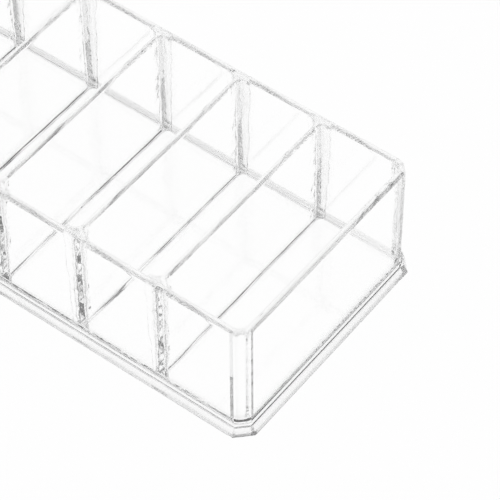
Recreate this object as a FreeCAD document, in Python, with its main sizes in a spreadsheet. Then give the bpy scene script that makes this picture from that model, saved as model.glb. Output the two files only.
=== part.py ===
import FreeCAD, Part
import math
import os

import Sketcher

# Clear vanity organizer: a row of upright compartments in a walled box on a bevelled base plate.
# Millimetres. Z is up, X runs along the row, Y goes from the front wall to the back wall.
# The origin is on the table, under the middle of the base plate.

doc = FreeCAD.newDocument("VanityOrganizer")
sheet = doc.addObject("Spreadsheet::Sheet", "Sizes")

SIZES = (
    ("compartment_count", "8", "compartments in the row"),
    ("compartment_width", "30.35", "clear width between two dividers"),
    ("compartment_length", "82.5", "clear length from front wall to back wall"),
    ("wall_height", "46.2", "walls and dividers, from the base plate to the rim"),
    ("wall_thickness", "2.6", "front, back and end walls"),
    ("rim_radius", "1.15", "rounding of the wall rims, inside and outside"),
    ("corner_leg", "3.1", "outer corner cut, measured along each wall"),
    ("corner_inner_radius", "3.4", "rounding of the corners inside"),
    ("divider_thickness", "2.1", "upright dividers"),
    ("divider_rim_radius", "0.3", "rounding of the dividers' top edges"),
    ("flare_radius", "2.8", "hollow curve that widens a divider towards the wall"),
    ("flare_land", "0.4", "straight edge of the widened end, at the wall"),
    ("base_thickness", "3.8", "base plate"),
    ("base_land", "0.5", "upright edge of the base plate, under the bevel"),
    ("base_overhang", "2.6", "base plate beyond the walls, all round"),
    ("base_bevel", "1.4", "width of the base plate's bevel, seen from above"),
    ("base_clip", "5.25", "corner cut of the base plate, measured along each side"),
    ("base_skirt", "1.2", "rim that the base plate stands on, all round"),
    ("base_recess", "1.5", "hollow under the base plate, up from the table"),
)

for row, (alias, value, meaning) in enumerate(SIZES, start=1):
    sheet.set(f"A{row}", meaning)
    sheet.set(f"B{row}", value)
    sheet.setAlias(f"B{row}", alias)
doc.recompute()

# Sizes that follow from the sheet, as expressions
COUNT = "round(Sizes.compartment_count)"
PITCH = "(Sizes.compartment_width + Sizes.divider_thickness)"
BOX_LENGTH = f"({COUNT} * {PITCH} - Sizes.divider_thickness + 2 * Sizes.wall_thickness)"
BOX_DEPTH = "(Sizes.compartment_length + 2 * Sizes.wall_thickness)"
BASE_LENGTH = f"({BOX_LENGTH} + 2 * Sizes.base_overhang)"
BASE_DEPTH = f"({BOX_DEPTH} + 2 * Sizes.base_overhang)"
CORNER_INSET = "(Sizes.wall_thickness + Sizes.corner_inner_radius)"
BEVEL_HEIGHT = "(Sizes.base_thickness - Sizes.base_land)"
BEVEL_ANGLE = f"atan(Sizes.base_bevel / {BEVEL_HEIGHT})"
FIRST_DIVIDER = f"({PITCH} - Sizes.divider_thickness / 2 + Sizes.wall_thickness - {BOX_LENGTH} / 2)"

# A rim rounding stays clear of the middle of its wall
RIM_RADIUS = "min(Sizes.rim_radius; 0.45 * Sizes.wall_thickness)"
DIVIDER_RIM_RADIUS = "min(Sizes.divider_rim_radius; 0.8 * Sizes.flare_land)"

# Sketch references: the two axes, the points of an element, and the origin, which starts the X axis
X_AXIS, Y_AXIS = -1, -2
START, END, CENTRE = 1, 2, 3
ORIGIN = (X_AXIS, START)

NEAR = 1e-6
parts = []


def size(expression):
    """Present value of an expression, for drawing a sketch at its real size."""
    value = sheet.evalExpression(expression)
    return float(getattr(value, "Value", value))


def vector(x, y, z=0.0):
    return FreeCAD.Vector(x, y, z)


def new_body(name):
    body = doc.addObject("PartDesign::Body", name)
    body.Label = name
    parts.append(body)
    return body


def new_sketch(body, name, lift=None):
    """Sketch on the body's XY plane, or parallel to it at the height that the expression lift gives."""
    sketch = body.newObject("Sketcher::SketchObject", f"{body.Name}_{name}")
    plane = next(item for item in body.Origin.OriginFeatures if item.Role == "XY_Plane")
    sketch.AttachmentSupport = [(plane, "")]
    sketch.MapMode = "FlatFace"
    if lift:
        sketch.setExpression("AttachmentOffset.Base.z", lift)
    return sketch


def outline(sketch, corners):
    """Closed run of straight lines through the corners, joined end to start."""
    for start, end in zip(corners, corners[1:] + corners[:1]):
        sketch.addGeometry(Part.LineSegment(vector(*start), vector(*end)))
    join_ends(sketch, len(corners))


def join_ends(sketch, count):
    for index in range(count):
        sketch.addConstraint(Sketcher.Constraint("Coincident", index, END, (index + 1) % count, START))


def bind(sketch, name, expression, kind, *references):
    """Dimension that follows an expression."""
    index = sketch.addConstraint(Sketcher.Constraint(kind, *references, size(expression)))
    sketch.renameConstraint(index, name)
    sketch.setExpression(f"Constraints.{name}", expression)


def relate(sketch, kind, *references):
    sketch.addConstraint(Sketcher.Constraint(kind, *references))


def pad(body, sketch, name, length, taper=None):
    feature = body.newObject("PartDesign::Pad", f"{body.Name}_{name}")
    feature.Profile = sketch
    feature.setExpression("Length", length)
    if taper:
        feature.setExpression("TaperAngle", f"-{taper}")
    return feature


def hollow_out(body, sketch, name, depth, taper):
    """Cuts upwards from the sketch, narrowing with the height, and checks that something went."""
    doc.recompute()
    before = body.Shape.Volume
    feature = body.newObject("PartDesign::Pocket", f"{body.Name}_{name}")
    feature.Profile = sketch
    feature.Reversed = True
    feature.setExpression("Length", depth)
    feature.setExpression("TaperAngle", f"-{taper}")
    doc.recompute()
    if body.Shape.Volume > before - NEAR:
        raise RuntimeError(f"{body.Label}: {name} cut nothing")


def round_edges(body, feature, name, radius, wanted):
    """Rounds the feature's edges that the test picks out."""
    doc.recompute()
    names = [f"Edge{i}" for i, edge in enumerate(feature.Shape.Edges, start=1) if wanted(edge)]
    if not names:
        raise RuntimeError(f"{body.Label}: no edge to round")
    fillet = body.newObject("PartDesign::Fillet", f"{body.Name}_{name}")
    fillet.Base = (feature, names)
    fillet.setExpression("Radius", radius)
    return fillet


def is_at_height(edge, height):
    return all(abs(vertex.Z - height) < NEAR for vertex in edge.Vertexes)


def is_along(edge, direction):
    return edge.Curve.TypeId == "Part::GeomLine" and edge.Curve.Direction.cross(direction).Length < NEAR


def place(body, x, y, z, turn=0):
    """Places a piece by expressions, turned about Z by a number of degrees."""
    body.Placement.Rotation = FreeCAD.Rotation(vector(0, 0, 1), turn)
    body.setExpression("Placement.Base.x", x)
    body.setExpression("Placement.Base.y", y)
    body.setExpression("Placement.Base.z", z)


def clipped_rectangle(sketch, inset="0"):
    """Base plate seen from above, centred, with its four corners cut, drawn in by an inset all round."""
    length = f"({BASE_LENGTH} - 2 * {inset})"
    depth = f"({BASE_DEPTH} - 2 * {inset})"
    corner_cut = f"(Sizes.base_clip - (2 - sqrt(2)) * {inset})"
    half_length = size(length) / 2
    half_depth = size(depth) / 2
    clip = size(corner_cut)
    outline(sketch, [
        (clip - half_length, -half_depth), (half_length - clip, -half_depth),
        (half_length, clip - half_depth), (half_length, half_depth - clip),
        (half_length - clip, half_depth), (clip - half_length, half_depth),
        (-half_length, half_depth - clip), (-half_length, clip - half_depth),
    ])
    front, right, back, left = 0, 2, 4, 6
    relate(sketch, "Symmetric", front, START, front, END, Y_AXIS)
    relate(sketch, "Symmetric", back, START, back, END, Y_AXIS)
    relate(sketch, "Symmetric", right, START, right, END, X_AXIS)
    relate(sketch, "Symmetric", left, START, left, END, X_AXIS)
    relate(sketch, "Equal", front, back)
    relate(sketch, "Equal", right, left)
    bind(sketch, "front_edge", f"{length} - 2 * {corner_cut}", "DistanceX", front, START, front, END)
    bind(sketch, "right_edge", f"{depth} - 2 * {corner_cut}", "DistanceY", right, START, right, END)
    bind(sketch, "front_half", f"{depth} / 2", "DistanceY", front, START, *ORIGIN)
    bind(sketch, "back_half", f"{depth} / 2", "DistanceY", *ORIGIN, back, START)
    bind(sketch, "right_half", f"{length} / 2", "DistanceX", *ORIGIN, right, START)
    bind(sketch, "left_half", f"{length} / 2", "DistanceX", left, START, *ORIGIN)


def make_base_plate():
    body = new_body("base_plate")
    edge_sketch = new_sketch(body, "edge")
    clipped_rectangle(edge_sketch)
    pad(body, edge_sketch, "land", "Sizes.base_land")
    bevel_sketch = new_sketch(body, "bevel", lift="Sizes.base_land")
    clipped_rectangle(bevel_sketch)
    pad(body, bevel_sketch, "plate", BEVEL_HEIGHT, taper=BEVEL_ANGLE)
    recess_sketch = new_sketch(body, "recess")
    clipped_rectangle(recess_sketch, inset="Sizes.base_skirt")
    hollow_out(body, recess_sketch, "hollow", "Sizes.base_recess", taper=BEVEL_ANGLE)


def make_wall(name, length, x, y, turn):
    """Upright wall, outer face on its own X axis, inner face towards +Y, ends slanted for the corners."""
    body = new_body(name)
    sketch = new_sketch(body, "plan")
    outer_half = size(length) / 2 - size("Sizes.corner_leg")
    inner_half = size(length) / 2 - size(CORNER_INSET)
    depth = size("Sizes.wall_thickness")
    outline(sketch, [(-outer_half, 0), (outer_half, 0), (inner_half, depth), (-inner_half, depth)])
    outer, inner = 0, 2
    relate(sketch, "Symmetric", outer, START, outer, END, Y_AXIS)
    relate(sketch, "Symmetric", inner, START, inner, END, Y_AXIS)
    relate(sketch, "PointOnObject", outer, START, X_AXIS)
    bind(sketch, "outer_length", f"{length} - 2 * Sizes.corner_leg", "DistanceX", outer, START, outer, END)
    bind(sketch, "inner_length", f"{length} - 2 * {CORNER_INSET}", "DistanceX", inner, END, inner, START)
    bind(sketch, "thickness", "Sizes.wall_thickness", "DistanceY", outer, END, inner, START)
    wall = pad(body, sketch, "wall", "Sizes.wall_height")
    top = size("Sizes.wall_height")
    round_edges(body, wall, "rim", RIM_RADIUS,
                lambda edge: is_at_height(edge, top) and is_along(edge, vector(1, 0)))
    place(body, x, y, "Sizes.base_thickness", turn)


def make_corner_strip(name, x, y, turn):
    """Corner between two walls that run along its own X and Y axes: flat outside, round inside."""
    body = new_body(name)
    sketch = new_sketch(body, "plan")
    leg = size("Sizes.corner_leg")
    inset = size(CORNER_INSET)
    thickness = size("Sizes.wall_thickness")
    inner_circle = Part.Circle(vector(inset, inset), vector(0, 0, 1), size("Sizes.corner_inner_radius"))
    sketch.addGeometry(Part.LineSegment(vector(0, leg), vector(leg, 0)))
    sketch.addGeometry(Part.LineSegment(vector(leg, 0), vector(inset, thickness)))
    sketch.addGeometry(Part.ArcOfCircle(inner_circle, math.pi, 1.5 * math.pi))
    sketch.addGeometry(Part.LineSegment(vector(thickness, inset), vector(0, leg)))
    facet, first_mitre, inner, last_mitre = 0, 1, 2, 3
    relate(sketch, "Coincident", facet, END, first_mitre, START)
    relate(sketch, "Coincident", first_mitre, END, inner, END)
    relate(sketch, "Coincident", inner, START, last_mitre, START)
    relate(sketch, "Coincident", last_mitre, END, facet, START)
    relate(sketch, "PointOnObject", facet, START, Y_AXIS)
    relate(sketch, "PointOnObject", facet, END, X_AXIS)
    relate(sketch, "Horizontal", inner, START, inner, CENTRE)
    relate(sketch, "Vertical", inner, END, inner, CENTRE)
    bind(sketch, "leg_x", "Sizes.corner_leg", "DistanceX", *ORIGIN, facet, END)
    bind(sketch, "leg_y", "Sizes.corner_leg", "DistanceY", *ORIGIN, facet, START)
    bind(sketch, "inset_x", CORNER_INSET, "DistanceX", *ORIGIN, inner, CENTRE)
    bind(sketch, "inset_y", CORNER_INSET, "DistanceY", *ORIGIN, inner, CENTRE)
    bind(sketch, "inner_radius", "Sizes.corner_inner_radius", "Radius", inner)
    strip = pad(body, sketch, "strip", "Sizes.wall_height")
    top = size("Sizes.wall_height")
    facet_direction = vector(1, -1).normalize()
    round_edges(body, strip, "rim", RIM_RADIUS,
                lambda edge: is_at_height(edge, top)
                and (edge.Curve.TypeId == "Part::GeomCircle" or is_along(edge, facet_direction)))
    place(body, x, y, "Sizes.base_thickness", turn)


def divider_plan(sketch):
    """Divider seen from above, centred: a straight web that widens in hollow curves at both ends."""
    half_web = size("Sizes.divider_thickness") / 2
    half_length = size("Sizes.compartment_length") / 2
    radius = size("Sizes.flare_radius")
    half_end = half_web + radius
    land_end = half_length - size("Sizes.flare_land")
    web_end = land_end - radius

    def line(x1, y1, x2, y2):
        sketch.addGeometry(Part.LineSegment(vector(x1, y1), vector(x2, y2)))

    def hollow(x, y, start_quarter):
        circle = Part.Circle(vector(x, y), vector(0, 0, 1), radius)
        start = start_quarter * math.pi / 2
        sketch.addGeometry(Part.ArcOfCircle(circle, start, start + math.pi / 2))

    line(-half_end, -half_length, half_end, -half_length)
    line(half_end, -half_length, half_end, -land_end)
    hollow(half_end, -web_end, 2)
    line(half_web, -web_end, half_web, web_end)
    hollow(half_end, web_end, 1)
    line(half_end, land_end, half_end, half_length)
    line(half_end, half_length, -half_end, half_length)
    line(-half_end, half_length, -half_end, land_end)
    hollow(-half_end, web_end, 0)
    line(-half_web, web_end, -half_web, -web_end)
    hollow(-half_end, -web_end, 3)
    line(-half_end, -land_end, -half_end, -half_length)

    front, right_web, back, left_web = 0, 3, 6, 9
    lands = (1, 5, 7, 11)
    hollows = (2, 4, 8, 10)
    count = 12
    # Each arc runs against the outline, so its ends join the other way round
    for index in range(count):
        following = (index + 1) % count
        leaving = START if index in hollows else END
        arriving = END if following in hollows else START
        relate(sketch, "Coincident", index, leaving, following, arriving)
    relate(sketch, "Symmetric", front, START, front, END, Y_AXIS)
    relate(sketch, "Symmetric", back, START, back, END, Y_AXIS)
    relate(sketch, "Symmetric", front, END, back, START, X_AXIS)
    for index in lands + (right_web, left_web):
        relate(sketch, "Vertical", index)
    for index in lands[1:]:
        relate(sketch, "Equal", lands[0], index)
    for index in hollows[1:]:
        relate(sketch, "Equal", hollows[0], index)
    relate(sketch, "Vertical", hollows[0], END, hollows[0], CENTRE)
    relate(sketch, "Vertical", hollows[3], START, hollows[3], CENTRE)
    relate(sketch, "Horizontal", hollows[0], START, hollows[0], CENTRE)
    relate(sketch, "Horizontal", hollows[1], END, hollows[1], CENTRE)
    relate(sketch, "Horizontal", hollows[2], START, hollows[2], CENTRE)
    relate(sketch, "Horizontal", hollows[3], END, hollows[3], CENTRE)
    bind(sketch, "length", "Sizes.compartment_length", "DistanceY", front, END, back, START)
    bind(sketch, "thickness", "Sizes.divider_thickness", "DistanceX", left_web, END, right_web, START)
    bind(sketch, "land", "Sizes.flare_land", "DistanceY", lands[0], START, lands[0], END)
    bind(sketch, "radius", "Sizes.flare_radius", "Radius", hollows[0])


def make_divider(number):
    body = new_body(f"divider_{number}")
    sketch = new_sketch(body, "plan")
    divider_plan(sketch)
    divider = pad(body, sketch, "divider", "Sizes.wall_height")
    top = size("Sizes.wall_height")
    web_length = size("Sizes.compartment_length") - 2 * size("Sizes.flare_land + Sizes.flare_radius")
    round_edges(body, divider, "rim", DIVIDER_RIM_RADIUS,
                lambda edge: is_at_height(edge, top) and abs(edge.Length - web_length) < NEAR)
    place(body, f"{FIRST_DIVIDER} + {number - 1} * {PITCH}", "0", "Sizes.base_thickness")


make_base_plate()

make_wall("front_wall", BOX_LENGTH, "0", f"-{BOX_DEPTH} / 2", 0)
make_wall("right_end_wall", BOX_DEPTH, f"{BOX_LENGTH} / 2", "0", 90)
make_wall("back_wall", BOX_LENGTH, "0", f"{BOX_DEPTH} / 2", 180)
make_wall("left_end_wall", BOX_DEPTH, f"-{BOX_LENGTH} / 2", "0", 270)

make_corner_strip("corner_strip_front_left", f"-{BOX_LENGTH} / 2", f"-{BOX_DEPTH} / 2", 0)
make_corner_strip("corner_strip_front_right", f"{BOX_LENGTH} / 2", f"-{BOX_DEPTH} / 2", 90)
make_corner_strip("corner_strip_back_right", f"{BOX_LENGTH} / 2", f"{BOX_DEPTH} / 2", 180)
make_corner_strip("corner_strip_back_left", f"-{BOX_LENGTH} / 2", f"{BOX_DEPTH} / 2", 270)

for divider_number in range(1, round(size("Sizes.compartment_count"))):
    make_divider(divider_number)

doc.recompute()

for item in doc.Objects:
    if {"Invalid", "Error"} & set(item.State):
        raise RuntimeError(f"{item.Label} did not build: {item.State}")
for part in parts:
    if part.Shape.isNull() or not part.Shape.isValid() or len(part.Shape.Solids) != 1:
        raise RuntimeError(f"{part.Label} is not one sound solid")

os.makedirs("parts", exist_ok=True)
for part in parts:
    part.Shape.exportStep(f"parts/{part.Label}.step")
    box = part.Shape.BoundBox
    print(f"{part.Label}: {box.XLength:.2f} x {box.YLength:.2f} x {box.ZLength:.2f} mm,"
          f" z {box.ZMin:.2f} to {box.ZMax:.2f}, volume {part.Shape.Volume:.1f}")
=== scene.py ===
"""Looks of a clear vanity organizer: its sheets, their polish and a white studio, built around the frame."""

import math

import bmesh
import bpy
from mathutils import Matrix, Vector


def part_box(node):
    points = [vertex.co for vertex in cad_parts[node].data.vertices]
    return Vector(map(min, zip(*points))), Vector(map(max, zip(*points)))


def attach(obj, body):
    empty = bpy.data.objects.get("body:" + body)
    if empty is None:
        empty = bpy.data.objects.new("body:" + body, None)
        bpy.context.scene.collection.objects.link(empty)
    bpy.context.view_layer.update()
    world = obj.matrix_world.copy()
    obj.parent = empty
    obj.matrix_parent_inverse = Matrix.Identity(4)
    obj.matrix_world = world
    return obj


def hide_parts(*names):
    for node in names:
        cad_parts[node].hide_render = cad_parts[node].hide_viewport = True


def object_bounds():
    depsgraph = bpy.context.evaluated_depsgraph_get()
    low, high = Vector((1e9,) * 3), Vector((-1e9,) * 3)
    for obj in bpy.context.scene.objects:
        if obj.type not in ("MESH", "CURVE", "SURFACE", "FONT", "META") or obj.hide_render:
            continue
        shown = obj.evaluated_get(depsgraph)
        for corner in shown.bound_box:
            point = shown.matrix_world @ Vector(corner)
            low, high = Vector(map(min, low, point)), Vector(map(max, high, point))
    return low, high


bl_info = {
    "name": "Clear Vanity Organizer",
    "version": (1, 0, 0),
    "blender": (4, 5, 0),
    "location": "3D View > Sidebar > Organizer",
    "description": "Builds the clear sheets and the white studio of a vanity organizer around its frame",
    "category": "Object",
}

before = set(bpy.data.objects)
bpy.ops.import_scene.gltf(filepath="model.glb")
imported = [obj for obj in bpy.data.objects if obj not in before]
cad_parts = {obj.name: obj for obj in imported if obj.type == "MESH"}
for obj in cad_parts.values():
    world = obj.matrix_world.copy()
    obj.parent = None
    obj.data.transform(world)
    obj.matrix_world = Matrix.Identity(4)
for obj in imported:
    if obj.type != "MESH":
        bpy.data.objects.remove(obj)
CAD_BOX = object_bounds()

BODY = "root"
WHITE = (1.0, 1.0, 1.0, 1.0)
QUARTER_TURN = math.pi / 2
NEAR = 1e-6

# Face attributes that the acrylic reads
WAVY = "wavy"
SATIN = "satin"

# Strength of the joint waves on a corner strip's ends and on a divider's flares; its foot has them in full
STRIP_END_WAVES = 0.3
FLARE_WAVES = 0.1

WALLS = {"front_wall": 0, "right_end_wall": 90, "back_wall": 180, "left_end_wall": 270}
CORNERS = {
    "corner_strip_front_left": 0,
    "corner_strip_front_right": 90,
    "corner_strip_back_right": 180,
    "corner_strip_back_left": 270,
}
DIVIDERS = sorted(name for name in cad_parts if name.startswith("divider_"))

# The box that the outer faces of the walls make, and the heights of base plate and rim
WALL_LOW = Vector((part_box("left_end_wall")[0].x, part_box("front_wall")[0].y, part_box("front_wall")[0].z))
WALL_HIGH = Vector((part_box("right_end_wall")[1].x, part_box("back_wall")[1].y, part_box("front_wall")[1].z))


def distance(name, description, default):
    return bpy.props.FloatProperty(
        name=name, description=description, default=default, min=0.0,
        unit="LENGTH", subtype="DISTANCE", precision=5)


def angle(name, description, degrees):
    return bpy.props.FloatProperty(
        name=name, description=description, default=math.radians(degrees), unit="ROTATION", subtype="ANGLE")


def number(name, description, default, low=0.0, high=1.0):
    return bpy.props.FloatProperty(name=name, description=description, default=default, min=low, max=high)


def colour(name, description, default):
    return bpy.props.FloatVectorProperty(
        name=name, description=description, default=default, size=3, min=0.0, max=1.0, subtype="COLOR")


class OrganizerSizes(bpy.types.PropertyGroup):
    """Sizes of the clear sheets that the frame's boxes don't give."""

    rim_width: distance("Rim width", "Rounding along the top edges of the walls, across the top", 0.0012)
    rim_drop: distance("Rim drop", "Rounding along the top edges of the walls, down the sides", 0.0024)
    divider_rim_width: distance(
        "Divider rim width", "Rounding of the dividers' top edges, across the top", 0.00095)
    divider_rim_drop: distance(
        "Divider rim drop", "Rounding of the dividers' top edges, down the sides", 0.0020)
    corner_leg: distance("Corner leg", "Outer corner cut, measured along each wall", 0.0031)
    corner_inner_radius: distance("Corner inner radius", "Rounding of the corners inside", 0.0034)
    corner_edge_radius: distance(
        "Corner edge radius", "Rounding between a corner strip and its walls", 0.002)
    divider_thickness: distance("Divider thickness", "Straight web of a divider", 0.0021)
    flare_land: distance("Flare land", "Straight edge of a divider's widened end", 0.0004)
    flare_taper: number(
        "Flare taper", "Share by which a divider's end is wider at the rim, narrower at the foot", 0.3)
    wavy_length: distance("Wavy length", "How far the waves reach from the end of a divider", 0.005)
    calm_height: distance("Calm height", "Height at rim and foot over which the waves die down", 0.003)
    wave_length: distance("Wave length", "Length of the waves near the end of a divider", 0.005)
    wave_depth: distance("Wave depth", "Depth of these waves", 0.0024)
    base_land: distance("Base land", "Upright edge of the base plate, under the bevel", 0.0005)
    base_bevel: distance("Base bevel", "Width of the base plate's bevel", 0.0014)
    base_clip: distance("Base clip", "Corner cut of the base plate, measured along each side", 0.00525)
    base_skirt: distance("Base skirt", "Width of the rim that the base plate stands on", 0.0025)
    base_recess: distance("Base recess", "Depth of the hollow under the base plate", 0.0015)
    base_edge_radius: distance("Base edge radius", "Rounding of the base plate's edges", 0.0002)
    bead_radius: distance("Bead radius", "Hollow bead of cement along the foot of a wall", 0.0013)
    divider_bead_radius: distance(
        "Divider bead radius", "Hollow bead of cement along the foot of a divider", 0.0006)
    bond_depth: distance("Bond depth", "How far a bonded sheet reaches into its neighbour", 0.00003)
    joint_gap: distance("Joint gap", "Hairline of air in a joint that isn't filled", 0.00002)


class AcrylicLook(bpy.types.PropertyGroup):
    """Finish of the clear acrylic."""

    tint: colour("Tint", "Colour of the light that passes through", (1.0, 1.0, 1.0))
    index: number("Refractive index", "How strongly the sheet bends light", 1.49, low=1.0, high=2.0)
    wave_length: distance(
        "Wave length", "Size of the slight waves that casting leaves in the surface", 0.007)
    wave_depth: distance("Wave depth", "Height of these waves", 0.00003)
    joint_wave_length: distance("Joint wave length", "Size of the waves near the joints", 0.018)
    joint_wave_depth: distance("Joint wave depth", "Height of the waves near the joints", 0.0042)
    polish: number("Polish roughness", "Roughness of the best polished places", 0.0)
    haze: number("Haze", "Roughness that wiping adds in patches", 0.02)
    haze_size: distance("Haze size", "Size of the wiped patches", 0.02)
    satin: number("Satin", "Roughness of the base plate's bevel", 0.32)


class StudioLook(bpy.types.PropertyGroup):
    """Camera, floor and light."""

    azimuth: angle("Azimuth", "Camera's turn from the front, towards the right end", 37.49)
    elevation: angle("Elevation", "Camera's height angle above the table", 50.42)
    roll: angle("Roll", "Camera's turn about its own view line", -0.27)
    camera_distance: distance("Camera distance", "From the camera to the point it looks at", 0.8954)
    lens: number("Focal length", "Camera's focal length in millimetres", 202.5, low=1.0, high=1000.0)
    floor_size: distance("Floor size", "Side of the square floor", 8.0)
    floor_gap: distance("Floor gap", "Air under the base plate", 0.0001)
    floor_colour: colour("Floor colour", "Pale floor", (0.95, 0.95, 0.95))
    floor_white: number("Floor white", "Share of plain white in the floor", 0.98)
    horizon: number("Horizon", "Brightness of the room under the ceiling light", 0.05)
    ceiling_start: angle("Ceiling start", "Height angle at which the white ceiling light begins", 35.0)
    ceiling_full: angle("Ceiling full", "Height angle from which the ceiling is all white", 45.0)


class Wire:
    """Socket of a node tree that takes part in sums with numbers and with other sockets."""

    def __init__(self, graph, socket):
        self.graph = graph
        self.socket = socket

    def maths(self, operation, *values):
        return self.graph.node("ShaderNodeMath", {"operation": operation}, dict(enumerate(values)))

    def __add__(self, other):
        return self.maths("ADD", self, other)

    def __radd__(self, other):
        return self.maths("ADD", other, self)

    def __sub__(self, other):
        return self.maths("SUBTRACT", self, other)

    def __rsub__(self, other):
        return self.maths("SUBTRACT", other, self)

    def __mul__(self, other):
        return self.maths("MULTIPLY", self, other)

    def __rmul__(self, other):
        return self.maths("MULTIPLY", other, self)

    def __truediv__(self, other):
        return self.maths("DIVIDE", self, other)

    def __rtruediv__(self, other):
        return self.maths("DIVIDE", other, self)

    def __gt__(self, other):
        return self.maths("GREATER_THAN", self, other)

    def __lt__(self, other):
        return self.maths("LESS_THAN", self, other)

    def __abs__(self):
        return self.maths("ABSOLUTE", self)

    def sqrt(self):
        return self.maths("SQRT", self)

    def sin(self):
        return self.maths("SINE", self)

    def cos(self):
        return self.maths("COSINE", self)

    def sign(self):
        return self.maths("SIGN", self)

    def least(self, other):
        return self.maths("MINIMUM", self, other)

    def most(self, other):
        return self.maths("MAXIMUM", self, other)


class Graph:
    """Node tree that is written as expressions."""

    def __init__(self, tree):
        self.tree = tree

    def node(self, kind, settings=None, values=None, output=0):
        """Adds a node, sets it up, fills its sockets and gives back one of its outputs."""
        return Wire(self, self.whole_node(kind, settings, values).outputs[output])

    def whole_node(self, kind, settings=None, values=None):
        node = self.tree.nodes.new(kind)
        for name, value in (settings or {}).items():
            setattr(node, name, value)
        for key, value in (values or {}).items():
            if isinstance(value, Wire):
                self.tree.links.new(value.socket, node.inputs[key])
            else:
                node.inputs[key].default_value = value
        return node

    def split(self, vector):
        node = self.whole_node("ShaderNodeSeparateXYZ", values={0: vector})
        return [Wire(self, socket) for socket in node.outputs]

    def join(self, x, y, z):
        return self.node("ShaderNodeCombineXYZ", values={0: x, 1: y, 2: z})


class SheetGraph(Graph):
    """Geometry nodes of an upright sheet, from its named inputs to its set material."""

    KINDS = {"length": "NodeSocketFloat", "count": "NodeSocketInt", "place": "NodeSocketVector",
             "material": "NodeSocketMaterial"}
    # Up part of a face's normal: below the first the face stands upright, above the second it lies level
    UPRIGHT = 0.03
    LEVEL = 0.9995

    def __init__(self, name, inputs):
        super().__init__(bpy.data.node_groups.new(name, "GeometryNodeTree"))
        self.tree.is_modifier = True
        self.tree.interface.new_socket("Geometry", in_out="OUTPUT", socket_type="NodeSocketGeometry")
        for label, kind in inputs.items():
            self.tree.interface.new_socket(label, in_out="INPUT", socket_type=self.KINDS[kind])
        source = self.tree.nodes.new("NodeGroupInput")
        self.inputs = {label: Wire(self, source.outputs[label]) for label in inputs}

    def chosen(self, *labels):
        return [self.inputs[label] for label in labels]

    def position(self):
        return self.split(self.node("GeometryNodeInputPosition"))

    def moved(self, geometry, x, y, z):
        place = self.join(x, y, z)
        return self.node("GeometryNodeSetPosition", values={"Geometry": geometry, "Position": place})

    def section(self):
        """Closed outline of a sheet: hollow beads at the foot, straight sides, round top edges. The sweep
        lays the outline's Y axis downwards, so it is drawn upside down."""
        bead_steps, side_steps, rim_steps = self.chosen("Bead steps", "Side steps", "Rim steps")
        bead, height, rim, drop = self.chosen("Bead radius", "Height", "Rim width", "Rim drop")
        per_side = bead_steps + side_steps + rim_steps + 1.0
        outline = self.node("GeometryNodeCurvePrimitiveCircle", values={"Resolution": per_side * 2.0})
        index = self.node("GeometryNodeInputIndex")
        last = per_side * 2.0 - 1.0
        from_foot = index.least(last - index)
        side = (index - last / 2.0).sign()
        bead_sweep = self.share(from_foot, bead_steps) * QUARTER_TURN
        rise = self.share(from_foot - bead_steps, side_steps)
        rim_sweep = self.share(from_foot - bead_steps - side_steps, rim_steps) * QUARTER_TURN
        across = (self.inputs["Thickness"] / 2.0 + bead * (1.0 - bead_sweep.sin())
                  - rim * (1.0 - rim_sweep.cos()))
        up = bead * (1.0 - bead_sweep.cos()) + rise * (height - bead - drop) + drop * rim_sweep.sin()
        return self.moved(outline, side * across, 0.0 - up, 0.0)

    @staticmethod
    def share(steps_done, steps):
        """Part of a stretch that is done, from 0 to 1."""
        return (steps_done / steps).most(0.0).least(1.0)

    def blank(self, path):
        """Sheet along a path on X, Thickness wide in Y, from Z 0 to Height."""
        return self.node("GeometryNodeCurveToMesh",
                         values={"Curve": path, "Profile Curve": self.section(), "Fill Caps": True})

    def straight_path(self, points):
        """Line on X from -1 to 1."""
        line = self.node("GeometryNodeCurvePrimitiveLine",
                         values={"Start": (-1.0, 0.0, 0.0), "End": (1.0, 0.0, 0.0)})
        return self.node("GeometryNodeResampleCurve", {"mode": "COUNT"}, {"Curve": line, "Count": points})

    def shaded(self, sheet, curved):
        """Flat faces stay flat; beads, rims and the other curved faces are smooth."""
        slant = abs(self.split(self.node("GeometryNodeInputNormal"))[2])
        is_cap = self.node("GeometryNodeInputMeshFaceNeighbors") > 4.0
        smooth = (slant > self.UPRIGHT).most(curved) * (slant < self.LEVEL) * (1.0 - is_cap)
        flat = self.node("GeometryNodeSetShadeSmooth", values={"Geometry": sheet, "Shade Smooth": False})
        return self.node("GeometryNodeSetShadeSmooth",
                         values={"Geometry": flat, "Selection": smooth, "Shade Smooth": True})

    def wavy(self, sheet, strength):
        """Writes down how wavy the sheet's faces are, for its material."""
        return self.node("GeometryNodeStoreNamedAttribute", {"data_type": "FLOAT", "domain": "FACE"},
                         {"Geometry": sheet, "Name": WAVY, "Value": strength})

    def finish(self, sheet):
        """Turns the sheet about Z, sets it in its place and gives it its material."""
        turned = self.node("GeometryNodeTransform", values={
            "Geometry": sheet,
            "Translation": self.inputs["Place"],
            "Rotation": self.join(0.0, 0.0, self.inputs["Turn"]),
        })
        whole = self.node("GeometryNodeRealizeInstances", values={"Geometry": turned})
        finished = self.node("GeometryNodeSetMaterial",
                             values={"Geometry": whole, "Material": self.inputs["Material"]})
        target = self.tree.nodes.new("NodeGroupOutput")
        self.tree.links.new(finished.socket, target.inputs[0])
        return self.tree


SHEET_INPUTS = {"Thickness": "length", "Height": "length", "Bead radius": "length",
                "Rim width": "length", "Rim drop": "length",
                "Bead steps": "count", "Side steps": "count", "Rim steps": "count",
                "Place": "place", "Turn": "length", "Material": "material"}
BEAD_STEPS = 10
RIM_STEPS = 16


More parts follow.
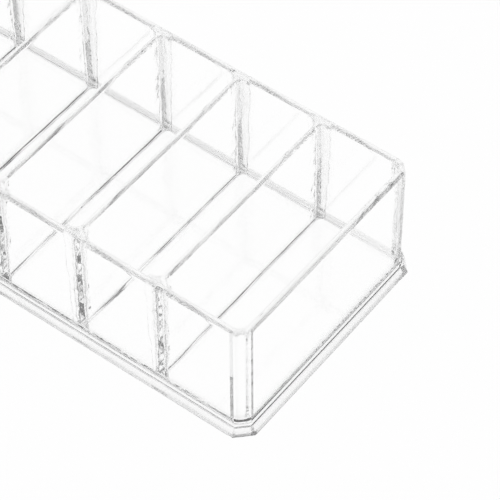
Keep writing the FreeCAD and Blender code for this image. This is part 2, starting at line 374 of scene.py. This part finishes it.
def wall_tree():
    """Straight wall: outer face on its own X axis, inner face towards +Y, ends slanted."""
    graph = SheetGraph("Upright wall", {"Outer length": "length", "Inner length": "length"} | SHEET_INPUTS)
    wall = graph.blank(graph.straight_path(2))
    along, across, up = graph.position()
    share = across / graph.inputs["Thickness"] + 0.5
    outer = graph.inputs["Outer length"]
    length = outer + share * (graph.inputs["Inner length"] - outer)
    wall = graph.moved(wall, along * length / 2.0, share * graph.inputs["Thickness"], up)
    return graph.finish(graph.shaded(wall, 0.0))


# Share of a corner strip's outer line that each of its round edges takes, and how an eighth of a turn runs
EDGE_SHARE = 0.25
EIGHTH_TURN = math.pi / 4
EDGE_TANGENT = math.tan(EIGHTH_TURN / 2)


def corner_tree():
    """Corner between walls along its own X and Y axes: flat facet outside, round inside."""
    graph = SheetGraph("Corner strip", {
        "Leg": "length", "Inner radius": "length", "Edge radius": "length", "Steps": "count"} | SHEET_INPUTS)
    strip = graph.blank(graph.straight_path(graph.inputs["Steps"]))
    along, across, up = graph.position()
    strip = graph.wavy(strip, (abs(along) > 1.0 - NEAR) * STRIP_END_WAVES)
    inner_share = across / graph.inputs["Thickness"] + 0.5
    outer_share = 1.0 - inner_share
    turn = (along + 1.0) / 2.0
    leg, radius = graph.chosen("Leg", "Inner radius")
    inset = graph.inputs["Thickness"] + radius
    sweep = (1.0 - turn) * QUARTER_TURN
    x = outer_share * facet_reach(graph, turn) + inner_share * (inset - radius * sweep.sin())
    y = outer_share * facet_reach(graph, 1.0 - turn) + inner_share * (inset - radius * sweep.cos())
    strip = graph.moved(strip, x, y, up)
    on_facet = along + across < leg + NEAR
    return graph.finish(graph.shaded(strip, 1.0 - on_facet))


def facet_reach(graph, turn):
    """How far a corner strip's outer line has come along one wall: round edge, flat facet, round edge."""
    leg, radius = graph.chosen("Leg", "Edge radius")
    first = graph.share(turn, EDGE_SHARE) * EIGHTH_TURN
    flat = graph.share(turn - EDGE_SHARE, 1.0 - 2.0 * EDGE_SHARE)
    last = graph.share(1.0 - turn, EDGE_SHARE) * EIGHTH_TURN
    bite = 1.0 - math.cos(EIGHTH_TURN)
    return (radius * (1.0 - first.cos()) + flat * (leg - radius * (2.0 * bite))
            + radius * (EDGE_TANGENT + bite - last.sin()))


# Share of the walls' rim rounding that the end of a divider follows
RIM_SHARE = 0.98


def divider_tree():
    """Divider along its own X axis: its ends widen in hollow, wavy curves and follow the walls' rims."""
    graph = SheetGraph("Flared divider", {
        "Length": "length", "Flare radius": "length", "Flare land": "length", "Flare taper": "length",
        "Flare steps": "count", "Wall rim width": "length", "Wall rim drop": "length",
        "Wavy length": "length", "Wavy steps": "count", "Calm height": "length",
        "Wave length": "length", "Wave depth": "length", "Seed": "length",
    } | SHEET_INPUTS)
    half, height = graph.inputs["Length"] / 2.0, graph.inputs["Height"]
    radius, land, steps = graph.chosen("Flare radius", "Flare land", "Flare steps")
    wavy_length, wavy_steps = graph.chosen("Wavy length", "Wavy steps")
    last = (steps + wavy_steps) * 2.0 + 3.0
    index = graph.node("GeometryNodeInputIndex")
    from_end = index.least(last - index)
    sweep = graph.share(from_end - 1.0, steps) * QUARTER_TURN
    beyond = graph.share(from_end - 1.0 - steps, wavy_steps) * (wavy_length - land - radius)
    inset = land * from_end.least(1.0) + radius * (1.0 - sweep.cos()) + beyond
    side = (index - last / 2.0).sign()
    path = graph.moved(graph.straight_path(last + 1.0), side * (half - inset), 0.0, 0.0)
    divider = graph.blank(path)
    along, across, up = graph.position()
    from_wall = half - abs(along)
    into_flare = (land + radius - from_wall).most(0.0).least(radius)
    taper = graph.inputs["Flare taper"]
    growth = 1.0 - taper + 2.0 * taper * graph.share(up, height)
    widening = growth * (radius - (radius * radius - into_flare * into_flare).most(0.0).sqrt())
    drop = graph.inputs["Wall rim drop"]
    into_rim = graph.share(up - height + drop, drop).least(RIM_SHARE)
    reach = graph.inputs["Wall rim width"] * (1.0 - (1.0 - into_rim * into_rim).sqrt())
    at_end = from_wall < NEAR
    waves = graph.node("ShaderNodeTexNoise", {"noise_dimensions": "4D"}, {
        "Vector": graph.join(along, across.sign() * radius, up),
        "W": graph.inputs["Seed"],
        "Scale": 1.0 / graph.inputs["Wave length"],
        "Detail": 1.0,
    })
    calm = graph.inputs["Calm height"]
    near_wall = 1.0 - graph.share(from_wall, wavy_length)
    wild = near_wall * graph.share(up, calm) * graph.share(height - up, calm)
    sway = (waves - 0.5) * graph.inputs["Wave depth"] * wild
    divider = graph.moved(divider, along + along.sign() * at_end * reach,
                          across + across.sign() * (widening + sway), up)
    is_wavy = (from_wall < wavy_length - NEAR) * (from_wall > land)
    is_foot = graph.split(graph.node("GeometryNodeInputNormal"))[2] < -graph.LEVEL
    divider = graph.wavy(graph.shaded(divider, is_wavy), is_foot.most(is_wavy * FLARE_WAVES))
    return graph.finish(divider)


def run_tree(name, tree, values):
    """Plain mesh object of what a geometry tree makes with these inputs."""
    piece = bpy.data.objects.new(name, bpy.data.meshes.new(name))
    bpy.context.scene.collection.objects.link(piece)
    modifier = piece.modifiers.new(tree.name, "NODES")
    modifier.node_group = tree
    for item in tree.interface.items_tree:
        if item.in_out == "INPUT":
            modifier[item.identifier] = values[item.name]
    evaluated = piece.evaluated_get(bpy.context.evaluated_depsgraph_get())
    mesh = bpy.data.meshes.new_from_object(evaluated)
    piece.modifiers.remove(modifier)
    empty = piece.data
    piece.data = mesh
    bpy.data.meshes.remove(empty)
    mesh.name = name
    return piece


def take_place(piece, node):
    """The piece stands for its CAD node."""
    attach(piece, BODY)
    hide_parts(node)


def sheet_values(sizes, thickness, rim, bead_radius, side_steps=1):
    """Inputs that all upright sheets share; rim holds the rim's width and its drop."""
    return {
        "Thickness": thickness,
        "Height": WALL_HIGH.z - WALL_LOW.z + sizes.bond_depth,
        "Bead radius": bead_radius,
        "Rim width": rim[0],
        "Rim drop": rim[1],
        "Bead steps": BEAD_STEPS,
        "Side steps": side_steps,
        "Rim steps": RIM_STEPS,
        "Material": acrylic(),
    }


# How much finer the joint waves are where they are weakest
FINEST_WAVES = 5.0


def acrylic():
    """Clear cast acrylic: polished, wavy near its joints, satin on the base plate's bevel."""
    name = "polished_acrylic"
    if name in bpy.data.materials:
        return bpy.data.materials[name]
    look = bpy.context.scene.organizer_acrylic
    material = bpy.data.materials.new(name)
    material.use_nodes = True
    material.node_tree.nodes.clear()
    graph = Graph(material.node_tree)
    place = graph.node("ShaderNodeTexCoord", output="Object")
    waves = graph.node("ShaderNodeTexNoise", values={
        "Vector": place, "Scale": 1.0 / look.wave_length, "Detail": 2.0, "Roughness": 0.4})
    near_joint = graph.node("ShaderNodeAttribute", {"attribute_name": WAVY}, output="Fac")
    fineness = FINEST_WAVES - (FINEST_WAVES - 1.0) * near_joint
    joint_waves = graph.node("ShaderNodeTexNoise", values={
        "Vector": place, "Scale": fineness / look.joint_wave_length, "Detail": 0.6, "Roughness": 0.5})
    height = waves * look.wave_depth + joint_waves * near_joint * look.joint_wave_depth
    wiped = graph.node("ShaderNodeTexNoise", values={
        "Vector": place, "Scale": 1.0 / look.haze_size, "Detail": 3.0, "Roughness": 0.6})
    satin = graph.node("ShaderNodeAttribute", {"attribute_name": SATIN}, output="Fac")
    surface = graph.node("ShaderNodeBsdfPrincipled", values={
        "Base Color": (*look.tint, 1.0),
        "Roughness": look.polish + wiped * look.haze + satin * look.satin,
        "IOR": look.index,
        "Transmission Weight": 1.0,
        "Normal": graph.node("ShaderNodeBump", values={"Distance": 1.0, "Height": height}),
    })
    graph.whole_node("ShaderNodeOutputMaterial", values={"Surface": surface})
    return material


def rounded(corners, radius, steps):
    """Open outline whose inner corners are rounded by arcs."""
    points = [Vector(corners[0])]
    for before, corner, after in zip(corners, corners[1:], corners[2:]):
        corner = Vector(corner)
        back = (Vector(before) - corner).normalized()
        on = (Vector(after) - corner).normalized()
        half = back.angle(on) / 2
        centre = corner + (back + on).normalized() * radius / math.sin(half)
        first = (corner + back * radius / math.tan(half) - centre).normalized()
        last = (corner + on * radius / math.tan(half) - centre).normalized()
        points += [centre + first.slerp(last, step / steps) * radius for step in range(steps + 1)]
    return points + [Vector(corners[-1])]


class ORGANIZER_OT_base_plate(bpy.types.Operator):
    """Builds the base plate: bevelled edge, clipped corners, all edges slightly rounded"""

    bl_idname = "organizer.base_plate"
    bl_label = "Base Plate"

    EDGE_STEPS = 4
    SAME_LEAN = 0.01

    def execute(self, context):
        sizes = context.scene.organizer_sizes
        low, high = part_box("base_plate")
        mesh = bpy.data.meshes.new("clear_base_plate")
        shape = bmesh.new()
        slope = sizes.base_bevel / (high.z - low.z - sizes.base_land)
        ceiling = low.z + sizes.base_recess
        corners = [
            (sizes.base_clip, ceiling),
            (sizes.base_skirt + slope * sizes.base_recess, ceiling),
            (sizes.base_skirt, low.z),
            (0.0, low.z),
            (0.0, low.z + sizes.base_land),
            (sizes.base_bevel, high.z),
            (sizes.base_clip, high.z),
        ]
        outline = rounded(corners, sizes.base_edge_radius, self.EDGE_STEPS)[1:-1]
        loops = [self.ring(shape, low, high, sizes.base_clip, inset, z) for inset, z in outline]
        for lower, upper in zip(loops, loops[1:]):
            count = len(lower)
            for i in range(count):
                j = (i + 1) % count
                shape.faces.new((lower[i], lower[j], upper[j], upper[i]))
        shape.faces.new(reversed(loops[0]))
        shape.faces.new(loops[-1])
        shape.to_mesh(mesh)
        shape.free()
        bevel_lean = math.sin(math.atan(slope))
        satin = mesh.attributes.new(SATIN, "FLOAT", "FACE")
        for face in mesh.polygons:
            satin.data[face.index].value = float(abs(face.normal.z - bevel_lean) < self.SAME_LEAN)
        mesh.materials.append(acrylic())
        piece = bpy.data.objects.new("clear_base_plate", mesh)
        context.scene.collection.objects.link(piece)
        take_place(piece, "base_plate")
        return {"FINISHED"}

    @staticmethod
    def ring(shape, low, high, clip, inset, z):
        """Clipped rectangle, drawn in by inset on every side."""
        cut = clip - inset * (2 - math.sqrt(2))
        left, right = low.x + inset, high.x - inset
        front, back = low.y + inset, high.y - inset
        corners = [
            (left + cut, front), (right - cut, front), (right, front + cut), (right, back - cut),
            (right - cut, back), (left + cut, back), (left, back - cut), (left, front + cut),
        ]
        return [shape.verts.new((x, y, z)) for x, y in corners]


class ORGANIZER_OT_walls(bpy.types.Operator):
    """Builds the four upright walls"""

    bl_idname = "organizer.walls"
    bl_label = "Walls"

    def execute(self, context):
        sizes = context.scene.organizer_sizes
        tree = wall_tree()
        box = WALL_HIGH - WALL_LOW
        floor = WALL_LOW.z - sizes.bond_depth
        gaps = 2 * sizes.joint_gap
        facet = sizes.corner_leg + sizes.corner_edge_radius * EDGE_TANGENT
        places = {0: (0.0, WALL_LOW.y), 90: (WALL_HIGH.x, 0.0),
                  180: (0.0, WALL_HIGH.y), 270: (WALL_LOW.x, 0.0)}
        for node, turn in WALLS.items():
            low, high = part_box(node)
            is_long = turn in (0, 180)
            thickness = (high - low).y if is_long else (high - low).x
            length = box.x if is_long else box.y
            values = sheet_values(sizes, thickness, (sizes.rim_width, sizes.rim_drop), sizes.bead_radius)
            piece = run_tree(f"clear_{node}", tree, values | {
                "Outer length": length - 2 * facet - gaps,
                "Inner length": length - 2 * (thickness + sizes.corner_inner_radius) - gaps,
                "Place": (*places[turn], floor),
                "Turn": math.radians(turn),
            })
            take_place(piece, node)
        return {"FINISHED"}


class ORGANIZER_OT_corner_strips(bpy.types.Operator):
    """Builds the four corner strips"""

    bl_idname = "organizer.corner_strips"
    bl_label = "Corner Strips"

    STEPS = 25
    SIDE_STEPS = 6

    def execute(self, context):
        sizes = context.scene.organizer_sizes
        tree = corner_tree()
        floor = WALL_LOW.z + sizes.joint_gap
        low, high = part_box("front_wall")
        thickness = (high - low).y
        places = {0: (WALL_LOW.x, WALL_LOW.y), 90: (WALL_HIGH.x, WALL_LOW.y),
                  180: (WALL_HIGH.x, WALL_HIGH.y), 270: (WALL_LOW.x, WALL_HIGH.y)}
        for node, turn in CORNERS.items():
            rim = (sizes.rim_width, sizes.rim_drop)
            values = sheet_values(sizes, thickness, rim, sizes.bead_radius, self.SIDE_STEPS)
            piece = run_tree(f"clear_{node}", tree, values | {
                "Leg": sizes.corner_leg,
                "Inner radius": sizes.corner_inner_radius,
                "Edge radius": sizes.corner_edge_radius,
                "Steps": self.STEPS,
                "Height": WALL_HIGH.z - floor,
                "Place": (*places[turn], floor),
                "Turn": math.radians(turn),
            })
            take_place(piece, node)
        return {"FINISHED"}


class ORGANIZER_OT_dividers(bpy.types.Operator):
    """Builds the dividers between the compartments"""

    bl_idname = "organizer.dividers"
    bl_label = "Dividers"

    FLARE_STEPS = 20
    WAVY_STEPS = 12
    SIDE_STEPS = 60

    def execute(self, context):
        sizes = context.scene.organizer_sizes
        tree = divider_tree()
        for seed, node in enumerate(DIVIDERS):
            low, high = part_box(node)
            middle = (low + high) / 2
            thickness = sizes.divider_thickness
            rim = (sizes.divider_rim_width, sizes.divider_rim_drop)
            values = sheet_values(sizes, thickness, rim, sizes.divider_bead_radius, self.SIDE_STEPS)
            piece = run_tree(f"clear_{node}", tree, values | {
                "Length": (high - low).y + 2 * sizes.bond_depth,
                "Flare radius": ((high - low).x - thickness) / 2,
                "Flare land": sizes.flare_land + sizes.bond_depth,
                "Flare taper": sizes.flare_taper,
                "Flare steps": self.FLARE_STEPS,
                "Wall rim width": sizes.rim_width,
                "Wall rim drop": sizes.rim_drop,
                "Wavy length": sizes.wavy_length,
                "Wavy steps": self.WAVY_STEPS,
                "Calm height": sizes.calm_height,
                "Wave length": sizes.wave_length,
                "Wave depth": sizes.wave_depth,
                "Seed": float(seed),
                "Height": high.z - low.z - sizes.joint_gap,
                "Place": (middle.x, middle.y, low.z + sizes.joint_gap),
                "Turn": math.radians(90),
            })
            take_place(piece, node)
        return {"FINISHED"}


class ORGANIZER_OT_stage(bpy.types.Operator):
    """Sets up the camera, the pale floor and the soft white studio"""

    bl_idname = "organizer.stage"
    bl_label = "Stage"

    LOOK_AT = Vector((0.0995, 0.0013, 0.025))
    SENSOR = 36.0
    BOUNCES = 80

    def execute(self, context):
        scene = context.scene
        scene.view_settings.view_transform = "Standard"
        scene.cycles.denoising_input_passes = "RGB"
        scene.cycles.max_bounces = self.BOUNCES
        scene.cycles.transmission_bounces = self.BOUNCES
        scene.cycles.glossy_bounces = self.BOUNCES
        look = scene.organizer_studio
        self.camera(scene, look)
        self.floor(scene, look)
        self.room(scene, look)
        return {"FINISHED"}

    def camera(self, scene, look):
        data = bpy.data.cameras.new("camera")
        data.lens = look.lens
        data.sensor_width = self.SENSOR
        camera = bpy.data.objects.new("camera", data)
        scene.collection.objects.link(camera)
        level = math.cos(look.elevation)
        right, back = math.sin(look.azimuth) * level, -math.cos(look.azimuth) * level
        away = Vector((right, back, math.sin(look.elevation)))
        camera.location = self.LOOK_AT + away * look.camera_distance
        facing = (-away).to_track_quat("-Z", "Y").to_matrix()
        camera.rotation_euler = (facing @ Matrix.Rotation(look.roll, 3, "Z")).to_euler()
        scene.camera = camera

    def floor(self, scene, look):
        half = look.floor_size / 2
        z = CAD_BOX[0][2] - look.floor_gap
        mesh = bpy.data.meshes.new("floor")
        corners = [(-half, -half, z), (half, -half, z), (half, half, z), (-half, half, z)]
        mesh.from_pydata(corners, [], [(0, 1, 2, 3)])
        floor = bpy.data.objects.new("floor", mesh)
        scene.collection.objects.link(floor)
        mesh.materials.append(self.floor_material(look))

    @staticmethod
    def floor_material(look):
        """Matte floor that shows as white to the camera and through the sheets, and keeps a soft shadow."""
        material = bpy.data.materials.new("floor")
        material.use_nodes = True
        material.node_tree.nodes.clear()
        graph = Graph(material.node_tree)
        path = graph.whole_node("ShaderNodeLightPath")
        seen = Wire(graph, path.outputs["Is Camera Ray"])
        seen = seen.most(Wire(graph, path.outputs["Is Glossy Ray"]))
        seen = seen.most(Wire(graph, path.outputs["Is Transmission Ray"]))
        matte = graph.node("ShaderNodeBsdfDiffuse", values={"Color": (*look.floor_colour, 1.0)})
        white = graph.node("ShaderNodeEmission", values={"Color": WHITE, "Strength": 1.0})
        mixed = graph.node("ShaderNodeMixShader", values={0: seen * look.floor_white, 1: matte, 2: white})
        graph.whole_node("ShaderNodeOutputMaterial", values={"Surface": mixed})
        return material

    @staticmethod
    def room(scene, look):
        """White ceiling over a dark horizon."""
        world = bpy.data.worlds.new("studio")
        scene.world = world
        world.use_nodes = True
        world.node_tree.nodes.clear()
        graph = Graph(world.node_tree)
        direction = graph.node("ShaderNodeTexCoord", output="Generated")
        up = graph.split(direction)[2]
        start, full = math.sin(look.ceiling_start), math.sin(look.ceiling_full)
        share = ((up - start) / (full - start)).most(0.0).least(1.0)
        brightness = look.horizon + share * (1.0 - look.horizon)
        light = graph.node("ShaderNodeBackground", values={"Color": WHITE, "Strength": brightness})
        graph.whole_node("ShaderNodeOutputWorld", values={"Surface": light})


class ORGANIZER_PT_panel(bpy.types.Panel):
    """Buttons and sizes of the organizer."""

    bl_idname = "ORGANIZER_PT_panel"
    bl_label = "Vanity Organizer"
    bl_space_type = "VIEW_3D"
    bl_region_type = "UI"
    bl_category = "Organizer"

    def draw(self, context):
        for operator in OPERATORS:
            self.layout.operator(operator.bl_idname)
        for group_name in GROUPS:
            group = getattr(context.scene, group_name)
            box = self.layout.box()
            for name in group.__annotations__:
                box.prop(group, name)


GROUPS = {
    "organizer_sizes": OrganizerSizes,
    "organizer_acrylic": AcrylicLook,
    "organizer_studio": StudioLook,
}
OPERATORS = (
    ORGANIZER_OT_base_plate,
    ORGANIZER_OT_walls,
    ORGANIZER_OT_corner_strips,
    ORGANIZER_OT_dividers,
    ORGANIZER_OT_stage,
)
CLASSES = (*GROUPS.values(), *OPERATORS, ORGANIZER_PT_panel)


def register():
    for item in CLASSES:
        bpy.utils.register_class(item)
    for name, group in GROUPS.items():
        setattr(bpy.types.Scene, name, bpy.props.PointerProperty(type=group))


def unregister():
    for name in GROUPS:
        delattr(bpy.types.Scene, name)
    for item in reversed(CLASSES):
        bpy.utils.unregister_class(item)


def main():
    register()
    bpy.ops.organizer.base_plate()
    bpy.ops.organizer.walls()
    bpy.ops.organizer.corner_strips()
    bpy.ops.organizer.dividers()
    bpy.ops.organizer.stage()


if __name__ == "__main__":
    main()
